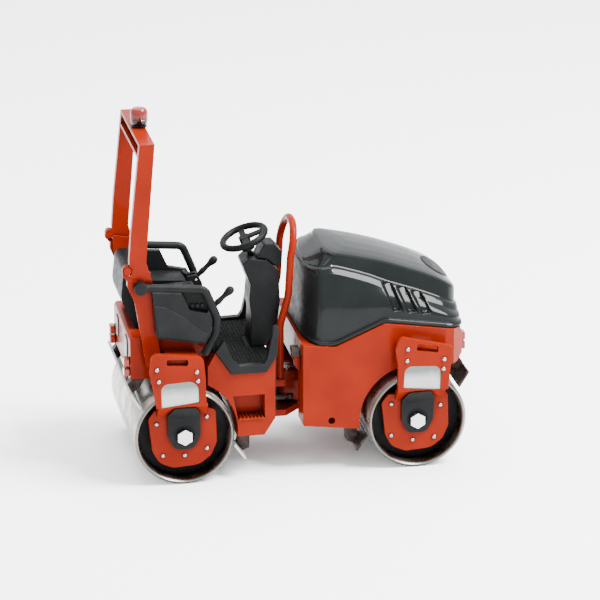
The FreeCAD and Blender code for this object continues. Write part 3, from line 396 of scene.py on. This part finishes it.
NODE_FINISH = {
    "rear_drum_shell": REAR_STEEL, "front_drum_shell": FRONT_STEEL, "beacon_lens": BEACON,
    "rear_axle": PLATED, "front_axle": PLATED, "rear_axle_nut": PLATED, "front_axle_nut": PLATED,
    "rear_fork_rivets": RIVET, "front_fork_rivets": RIVET, "rear_fork_plates": PALE,
    "front_fork_plates": PALE, "rear_scraper_blades": PALE, "front_scraper_blades": BROWN,
    "rear_scraper_brackets": BROWN, "front_scraper_brackets": BROWN, "steering_ram": BROWN,
    "articulation_pin": PLATED, "lever_pins": PLATED, "roll_bar_pins": ORANGE, "hood": GLOSS,
    "floor_pan": TRIM, "floor_mat": RUBBER, "rear_lamps": LAMP, "front_lamps": LAMP,
    "harness_bracket": ORANGE, "harness_plug": BROWN, "seat_base": BLACK, "seat_cushion": BLACK,
    "seat_back": BLACK, "rear_drum_core": BLACK, "front_drum_core": BLACK, "nose_inlay": BLACK,
    "steering_wheel": BLACK, "beacon_base": BLACK, "engine_block": BLACK,
}
# a node that isn't named above is satin plastic if its name holds one of these words, else orange
DARK_NODES = ("console", "handrail", "lever", "pod", "column", "wheel", "hub_covers")
# edge widths: the first of these words that is in a node's name decides
SOFT_EDGES = {"chassis": 0.16, "fork_right": 0.13, "fork_left": 0.13, "roll_bar_frame": 0.16,
              "roll_bar_post": 0.04, "yoke": 0.15, "column": 0.22, "pod": 0.16, "console": 0.2,
              "floor_pan": 0.1, "axle": 0.07, "bracket": 0.08, "hub_covers": 0.2,
              "blades": 0.05, "lamps": 0.22, "harness": 0.1, "travel_lever": 0.1,
              "fork_plates": 0.04}


def dress_cad_nodes():
    """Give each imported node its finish, and cast parts the soft edges of a casting."""
    for name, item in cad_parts.items():
        finish = NODE_FINISH.get(name)
        if finish is None:
            finish = PLASTIC if any(word in name for word in DARK_NODES) else ORANGE
        item.data.materials.clear()
        item.data.materials.append(finish)
        weld = item.modifiers.new("weld", "WELD")
        weld.merge_threshold = WELD_METRES
        width = next((size for word, size in SOFT_EDGES.items() if word in name), None)
        if width:
            flatten = item.modifiers.new("flatten", "DECIMATE")
            flatten.decimate_type = "DISSOLVE"
            flatten.angle_limit = math.radians(1.5)
            bevel(item, width)


dress_cad_nodes()

# ---------------------------------------------------------------- hood
RIM = softened_line(((-1.0, 19.3), (5.1, 18.8), (12.4, 21.9), (21.7, 20.5), (26.0, 20.0)), 0.7)
BELT = curve_through(((0.9, 28.6), (2.3, 29.3), (3.6, 29.75), (5.2, 29.9), (8.0, 29.15),
                      (10.9, 28.15), (13.1, 27.2), (18.2, 25.35), (21.4, 24.0), (24.3, 22.5)))
CREST = curve_through(((0.9, 31.9), (4.3, 31.5), (8.0, 30.85), (11.0, 30.15), (14.0, 29.3),
                       (17.0, 28.25), (19.5, 27.3), (22.0, 26.1), (24.3, 24.6)))
Ring = namedtuple("Ring", "half rear front rear_corner front_corner line lift")
# from the lip folded in under the rim, up to the crown; lift is the height above the line
HOOD_RINGS = tuple(Ring(*values) for values in (
    (9.50, 1.90, 23.4, 2.0, 2.6, RIM, 0.9), (9.50, 1.90, 23.4, 2.0, 2.6, RIM, 0.05),
    (10.25, 1.12, 24.2, 2.0, 2.8, RIM, 0.0), (10.40, 1.0, 24.32, 2.0, 2.8, RIM, 0.15),
    (10.40, 1.0, 24.32, 2.0, 2.8, RIM, 0.42), (10.25, 1.05, 24.25, 2.0, 2.8, RIM, 0.6),
    (9.95, 1.1, 24.15, 2.0, 2.8, RIM, 0.72), (9.90, 1.15, 24.1, 2.1, 2.8, RIM, 1.1),
    (8.55, 1.65, 24.2, 2.2, 2.9, BELT, -0.85), (8.1, 1.7, 24.2, 2.2, 2.9, BELT, -0.35),
    (7.85, 1.78, 24.15, 2.2, 2.9, BELT, -0.12), (7.6, 1.9, 24.1, 2.2, 2.9, BELT, -0.02),
    (7.25, 2.15, 24.0, 2.0, 2.9, BELT, 0.0), (7.1, 2.3, 23.98, 2.0, 2.9, BELT, 0.16),
    (6.5, 4.35, 24.1, 1.5, 2.8, CREST, -0.3), (6.36, 4.55, 24.0, 1.4, 2.8, CREST, 0.0),
    (6.0, 4.95, 23.7, 1.4, 2.7, CREST, 0.16), (5.0, 5.8, 22.9, 1.4, 2.6, CREST, 0.3),
    (2.9, 7.2, 21.6, 1.2, 1.5, CREST, 0.46), (0.0, 9.0, 19.5, 0.0, 0.0, CREST, 0.54),
))
SIDE_PANEL_STEPS, SHOULDER_STEPS, NARROW_STEPS = 44, 14, 4
END_STEPS, LENGTH_STEPS = 24, 180
SIDE_BULGE = 0.55
REAR_BOW = 2.9
SATIN_BELOW = 29.0
VENT_TOPS = (13.2, 15.35, 17.45)
VENT_BAND = (7.3, 10.0)
VENT_LEAN, VENT_DEPTH = 1.35, 0.75
VENT_HEAD_DROP, VENT_FOOT_RISE = 0.15, 1.4
VENT_FLOOR_HALF, VENT_MOUTH_HALF = 0.42, 0.84


def ring_outline(ring):
    """Half of the plan, from the rear middle to the front middle: the rear is bowed."""
    half, rear, front = ring.half, ring.rear, ring.front
    rear_corner = ring.rear_corner
    bow = min(REAR_BOW * rear_corner, 0.8 * half)
    front_corner = min(ring.front_corner, 0.75 * half)
    turns = [math.pi / 2 * step / END_STEPS for step in range(END_STEPS)]
    spots = []
    for step in range(END_STEPS):
        spots.append((rear, mix(0, half - bow, step / END_STEPS)))
    for turn in turns:
        spots.append((rear + rear_corner * (1 - math.cos(turn)),
                      half - bow * (1 - math.sin(turn))))
    for step in range(LENGTH_STEPS):
        x = mix(rear + rear_corner, front - front_corner, step / LENGTH_STEPS)
        spots.append((x, half))
    for turn in turns:
        spots.append((front - front_corner * (1 - math.sin(turn)),
                      half - front_corner * (1 - math.cos(turn))))
    for step in range(END_STEPS + 1):
        spots.append((front, mix(half - front_corner, 0, step / END_STEPS)))
    return spots


def vent_depth(x, z, half):
    """How far the side panel is pressed in at a point: three slots that lean forward."""
    if not VENT_BAND[0] <= half <= VENT_BAND[1]:
        return 0.0
    depth = 0.0
    for top in VENT_TOPS:
        head = BELT(top) - VENT_HEAD_DROP
        foot = RIM(top) + VENT_FOOT_RISE
        share = (head - z) / (head - foot)
        middle = top + VENT_LEAN * share
        across = 1 - smoothstep(VENT_FLOOR_HALF, VENT_MOUTH_HALF, abs(x - middle))
        along = smoothstep(-0.1, 0.06, share) * (1 - smoothstep(0.86, 1.0, share))
        depth = max(depth, VENT_DEPTH * across * along)
    return depth


def hood_levels():
    """Pairs of neighbouring rings, each with the share of the way from the first to the second."""
    levels = []
    for low, high in zip(HOOD_RINGS, HOOD_RINGS[1:]):
        steps = NARROW_STEPS
        if low.line is not high.line:
            steps = SIDE_PANEL_STEPS if low.line is RIM else SHOULDER_STEPS
        levels += [(low, high, step / steps) for step in range(steps)]
    levels.append((HOOD_RINGS[-2], HOOD_RINGS[-1], 1.0))
    return levels


def hood_row(low, high, share):
    """One closed row of the hood's points, part of the way between two rings."""
    side_panel = low.line is RIM and high.line is BELT
    bulge = SIDE_BULGE * math.sin(math.pi * share) if side_panel else 0.0
    half = mix(low.half, high.half, share)
    row = []
    for (x0, y0), (x1, y1) in zip(ring_outline(low), ring_outline(high)):
        x, y = mix(x0, x1, share), mix(y0, y1, share)
        z = mix(low.line(x0) + low.lift, high.line(x1) + high.lift, share)
        side = y / half if half else 0.0
        y += side * bulge - smoothstep(0.9, 1.0, side) * vent_depth(x, z, half)
        row.append((x, y, z))
    return [(x, -y, z) for x, y, z in row] + row[-2:0:-1]


def hood():
    """The hood's shell, glossy except for its satin rear face, and the badge on its nose."""
    rows = [hood_row(*level) for level in hood_levels()]
    vertices = [spot for row in rows for spot in row]
    faces = ring_faces(len(rows), len(rows[0]))
    shell = piece("hood_shell", vertices, faces, GLOSS, "front_frame", "hood_gloss", angle=40)
    shell.data.materials.append(PLASTIC)
    for polygon in shell.data.polygons:
        if polygon.normal.x < -0.7 and polygon.center.z < SATIN_BELOW * MM:
            polygon.material_index = 1
    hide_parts("hood")
    nose_badge(BVHTree.FromPolygons([Vector(spot) for spot in vertices], faces))


def nose_badge(surface):
    """A plain raised oval that follows the hood's nose."""
    centre_x, half_length, half_width = 21.95, 1.95, 3.7
    thickness, dish, sunk_edge = 0.14, 0.03, -0.05
    rings, turns = 10, 72
    above = 40
    spots = []
    for ring in range(rings + 1):
        share = ring / rings
        for turn in range(turns):
            angle = 2 * math.pi * turn / turns
            x = centre_x + half_length * share * math.cos(angle)
            y = half_width * share * math.sin(angle)
            hit = surface.ray_cast(Vector((x, y, above)), Vector((0, 0, -1)))[0]
            lift = thickness * smoothstep(1.0, 0.9, share) if share < 1 else sunk_edge
            spots.append((x, y, hit.z + lift - dish * smoothstep(0.9, 0.8, share)))
    plates = ring_faces(rings + 1, turns)
    badge = piece("nose_badge", spots, plates, BLACK, "front_frame", "dark_plastic")
    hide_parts("nose_inlay")


# ---------------------------------------------------------------- small pieces
def plate_piece(name, outline, side, inner, outer, material, body, slot, width=0.12):
    """An outline in (x, z) made solid between two distances from the middle plane."""
    vertices = [(x, side * inner, z) for x, z in outline]
    vertices += [(x, side * outer, z) for x, z in outline]
    faces = capped_faces(len(outline))
    item = piece(name, vertices, faces, material, body, slot, smooth=False)
    bevel(item, width)


def lathe(name, profile, centre, material, body, slot, turns=64):
    """A profile of (radius, height) turned about an upright axis."""
    vertices = []
    for radius, height in profile:
        for turn in range(turns):
            angle = 2 * math.pi * turn / turns
            vertices.append((centre[0] + radius * math.cos(angle),
                             centre[1] + radius * math.sin(angle), height))
    faces = ring_faces(len(profile), turns)
    return piece(name, vertices, faces, material, body, slot)


def console_panels():
    """The lower panel of each console stands slightly proud, under a rising crease."""
    outline = ((-20.3, 22.0), (-14.75, 20.95), (-13.85, 20.95), (-13.15, 22.0), (-13.8, 22.35),
               (-16.3, 24.6), (-19.15, 26.35), (-20.95, 26.85))
    sunk, proud = 10.3, 10.52
    for side, hand in SIDES:
        plate_piece("console_panel_" + hand, outline, side, sunk, proud, PANEL, "rear_frame",
                    "dark_plastic")


def control_box():
    """The switch box inside the right console's opening, with three keys on it."""
    inner, face, key_face = 8.1, 9.3, 9.55
    overlap, half_key = 0.05, 0.25
    right = SIDES[0][0]
    outline = ((-16.9, 25.3), (-12.95, 24.9), (-12.95, 26.6), (-13.6, 28.0), (-16.9, 28.25))
    plate_piece("control_box", outline, right, inner, face, BLACK, "rear_frame", "dark_plastic", 0.2)
    for key, x in enumerate((-15.3, -14.6, -13.9), start=1):
        rear, front = x - half_key, x + half_key
        outline = ((rear, 25.75), (front, 25.7), (front, 26.3), (rear, 26.35))
        plate_piece(f"control_key_{key}", outline, right, face - overlap, key_face, PANEL,
                    "rear_frame", "dark_plastic", 0.08)


def armrest_noses():
    """The rounded front end of each armrest, outboard of the travel lever."""
    outline = ((-13.9, 22.2), (-12.9, 22.2), (-12.5, 22.9), (-12.45, 24.2), (-12.9, 25.0),
               (-13.9, 25.2))
    inner, outer = 7.95, 9.3
    for side, hand in SIDES:
        plate_piece("armrest_nose_" + hand, outline, side, inner, outer, PLASTIC, "rear_frame",
                    "dark_plastic", 0.25)


def hinge_leaves():
    """A leaf on the inner face of each lower post covers the joint of the folding frame."""
    outline = ((-24.1, 29.0), (-21.0, 28.4), (-21.0, 31.0), (-24.1, 31.6))
    inner, outer = 7.8, 8.09
    for side, hand in SIDES:
        plate_piece("hinge_leaf_" + hand, outline, side, inner, outer, ORANGE, "rear_frame",
                    "orange_paint", 0.08)


def fold_shims():
    """A shim under each post of the folding frame closes its joint with the lower post."""
    outline = ((-24.05, 30.86), (-20.93, 29.74), (-20.96, 29.5), (-24.3, 30.6))
    inner, outer = 8.13, 9.17
    for side, hand in SIDES:
        plate_piece("fold_shim_" + hand, outline, side, inner, outer, ORANGE, "roll_bar",
                    "orange_paint", 0.02)


def rounded_square(turn, turns):
    """A point on a unit square with round corners, part of the way around."""
    squareness = 0.45
    angle = 2 * math.pi * turn / turns
    return [math.copysign(abs(wave) ** squareness, wave) for wave in (math.cos(angle), math.sin(angle))]


def tail_hatches():
    """Two pale, dark-rimmed hatches on the tail's rear face."""
    tail_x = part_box("rear_chassis")[0].x / MM
    centre_y, centre_z = 4.4, 18.9
    half_width, half_height = 1.2, 1.6
    sunk, turns = 0.05, 40
    layers = (("rim", 0.0, 0.10, BLACK, "dark_plastic"), ("lid", 0.22, 0.16, PALE, "bright_steel"))
    for side, hand in SIDES:
        for name, inset, lift, finish, slot in layers:
            vertices = []
            for depth in (sunk, -lift):
                for turn in range(turns):
                    y, z = rounded_square(turn, turns)
                    vertices.append((tail_x + depth, side * centre_y + y * (half_width - inset),
                                     centre_z + z * (half_height - inset)))
            item = piece(f"tail_hatch_{name}_{hand}", vertices, capped_faces(turns), finish,
                         "rear_frame", slot, smooth=False)
            bevel(item, 0.05)


def lever_handles():
    """Each travel lever: a slim neck that swells into a pear-shaped grip."""
    profile = ((0.0, -0.34), (0.22, -0.26), (0.33, -0.08), (0.36, 0.2), (0.36, 1.0), (0.44, 1.25),
               (0.42, 1.6), (0.36, 2.1), (0.35, 2.5), (0.42, 2.9), (0.53, 3.25), (0.6, 3.6),
               (0.58, 3.9), (0.46, 4.15), (0.25, 4.31), (0.0, 4.36))
    pivot_x, pivot_y, pivot_z = -12.2, 6.9, 24.6
    direction = Vector((2.8, 0, 2.6))
    lean = Vector((0, 0, 1)).rotation_difference(direction)
    for side, hand in SIDES:
        pivot = Vector((pivot_x, side * pivot_y, pivot_z))
        item = lathe("lever_handle_" + hand, profile, (0, 0), PLASTIC, "lever_" + hand,
                     "dark_plastic", 32)
        for vertex in item.data.vertices:
            vertex.co = lean @ vertex.co + pivot * MM
        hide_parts("travel_lever_" + hand)


def mat_treads():
    """Zigzag ribs across the floor mat, with a gap where the steering column stands."""
    rows, rear_x, pitch, step_length = 14, -11.25, 0.48, 0.3
    half_mat, half_column, column_rear_x = 9.3, 2.5, -6.1
    foot, crest, swing = 0.11, 0.04, 0.13
    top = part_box("floor_mat")[1].z / MM
    low_z, high_z = top - 0.02, top + 0.13
    vertices, faces = [], []
    for row in range(rows):
        x = rear_x + pitch * row
        spans = ((-half_mat, half_mat),)
        if x > column_rear_x:
            spans = ((-half_mat, -half_column), (half_column, half_mat))
        for low, high in spans:
            count = int((high - low) / step_length)
            start = len(vertices)
            for spot in range(count + 1):
                y = low + (high - low) * spot / count
                shift = swing if spot % 2 else -swing
                vertices += [(x + shift - foot, y, low_z), (x + shift - crest, y, high_z),
                             (x + shift + crest, y, high_z), (x + shift + foot, y, low_z)]
            for spot in range(count):
                base = start + 4 * spot
                for lane in range(3):
                    faces.append((base + lane, base + lane + 1, base + lane + 5, base + lane + 4))
                faces.append((base + 3, base, base + 4, base + 7))
            faces += [(start, start + 1, start + 2, start + 3),
                      tuple(start + 4 * count + lane for lane in (3, 2, 1, 0))]
    piece("mat_ribs", vertices, faces, RUBBER, "rear_frame", "mat_rubber", smooth=False)


def beacon():
    """The beacon's dome, with a groove around its foot."""
    low, high = beacon_low.z / MM, beacon_high.z / MM
    middle = (beacon_low + beacon_high) / 2 / MM
    profile = ((0.0, low), (1.0, low), (1.12, low + 0.12), (1.2, low + 0.4), (1.24, low + 0.8),
               (1.19, low + 0.86), (1.19, low + 0.94), (1.25, low + 1.0), (1.25, low + 1.5),
               (1.22, low + 1.85), (1.12, low + 2.15), (0.92, low + 2.36), (0.6, high - 0.06),
               (0.3, high - 0.02), (0.0, high - 0.01))
    dome = lathe("beacon_dome", profile, (middle.x, middle.y), BEACON, "roll_bar",
                 "beacon_plastic")
    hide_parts("beacon_lens")


hood()
console_panels()
control_box()
armrest_noses()
hinge_leaves()
fold_shims()
tail_hatches()
lever_handles()
mat_treads()
beacon()


# ---------------------------------------------------------------- stage, light and camera
TARGET = Vector((2.06, 0.0, 22.51)) * MM
AZIMUTH, ELEVATION = math.radians(-11.16), math.radians(19.33)
LENS, SENSOR = 198.2, 36
SKY_STRENGTH = 2.6
# the rest is in metres and watts, and a light's row is its name, place, diameter and power
DISTANCE = 0.48
FLOOR_REACH = 4.0
LIGHTS = (("key", (0.24, -0.10, 0.38), 0.22, 8.2), ("top", (0.0, 0.12, 0.55), 0.4, 4.0),
          ("glint", (0.16, -0.16, 0.42), 0.03, 0.9))


def toward(azimuth, elevation):
    """The direction from the target to a viewer at these angles."""
    return Vector((math.sin(azimuth) * math.cos(elevation),
                   -math.cos(azimuth) * math.cos(elevation), math.sin(elevation)))


def floor_and_sky():
    """A plain pale floor under an even pale sky."""
    floor_mesh = bpy.data.meshes.new("floor")
    corners = [(x * FLOOR_REACH, y * FLOOR_REACH, 0) for x, y in ((-1, -1), (1, -1), (1, 1), (-1, 1))]
    floor_mesh.from_pydata(corners, [], [(0, 1, 2, 3)])
    floor = bpy.data.objects.new("floor", floor_mesh)
    bpy.context.scene.collection.objects.link(floor)
    paper = Finish("paper", (0.9, 0.9, 0.9), 0.9, Specular_IOR_Level=0.05)
    grain = paper.ramp(paper.noise(2.0), 0.3, 0.7)
    paper.put("Base Color", paper.blend(grain, (0.895, 0.895, 0.895), (0.905, 0.905, 0.905)))
    floor_mesh.materials.append(paper.material)

    world = bpy.data.worlds.new("studio")
    world.use_nodes = True
    sky = world.node_tree.nodes["Background"]
    sky.inputs["Color"].default_value = (0.95, 0.97, 1.0, 1)
    sky.inputs["Strength"].default_value = SKY_STRENGTH
    bpy.context.scene.world = world


def studio_lights():
    """Soft round lamps that all point at the target."""
    for name, place, size, power in LIGHTS:
        lamp = bpy.data.lights.new(name, "AREA")
        lamp.shape = "DISK"
        lamp.size = size
        lamp.energy = power
        holder = bpy.data.objects.new(name, lamp)
        holder.location = place
        holder.rotation_euler = (TARGET - Vector(place)).to_track_quat("-Z", "Y").to_euler()
        bpy.context.scene.collection.objects.link(holder)


def camera():
    """A long lens at the photograph's viewing angle."""
    lens = bpy.data.cameras.new("camera")
    lens.lens = LENS
    lens.sensor_width = SENSOR
    lens.clip_start = 0.01
    lens.clip_end = 20
    holder = bpy.data.objects.new("camera", lens)
    holder.location = TARGET + toward(AZIMUTH, ELEVATION) * DISTANCE
    holder.rotation_euler = (TARGET - holder.location).to_track_quat("-Z", "Y").to_euler()
    bpy.context.scene.collection.objects.link(holder)
    bpy.context.scene.camera = holder


floor_and_sky()
studio_lights()
camera()
